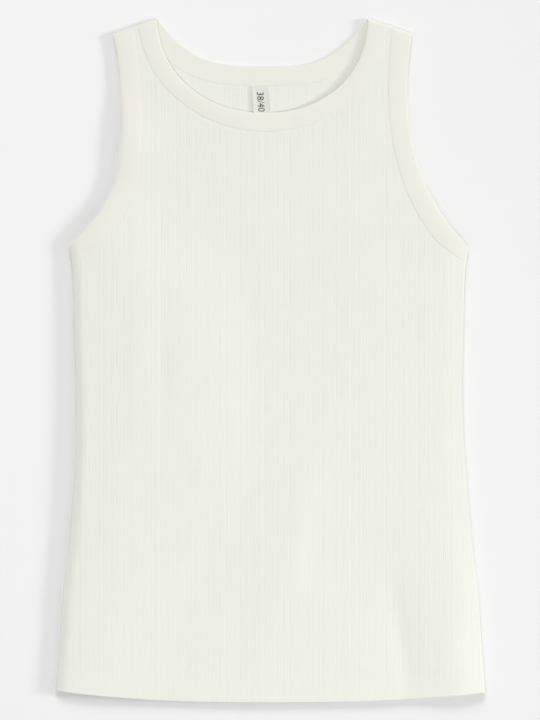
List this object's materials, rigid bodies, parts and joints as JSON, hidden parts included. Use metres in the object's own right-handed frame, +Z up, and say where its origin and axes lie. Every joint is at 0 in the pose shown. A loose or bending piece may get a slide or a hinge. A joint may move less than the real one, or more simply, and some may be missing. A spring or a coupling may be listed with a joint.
{
  "type": "tank top",
  "caption": "Sleeveless rib-knit tank top laid flat, with a deep scooped neck, narrow bound neck and armholes, and a turned-up hem",
  "frame": {"origin": "under the middle of the garment, on the surface that it lies on", "axes": "+X to the right as seen from above, +Y from the hem towards the neck, +Z up out of the front"},
  "size_m": [0.3886, 0.62, 0.0092],
  "materials": {
    "rib_knit": "matt ivory rib knit",
    "plain_knit": "matt ivory plain knit",
    "woven_tape": "fine off-white woven tape"
  },
  "bodies": {
    "root": {"front_panel": "rib_knit", "back_panel": "rib_knit", "front_hem": "rib_knit", "back_hem": "rib_knit", "neck_band": "plain_knit", "armhole_band_left": "plain_knit", "armhole_band_right": "plain_knit", "neck_label": "woven_tape"}
  },
  "joints": []
}
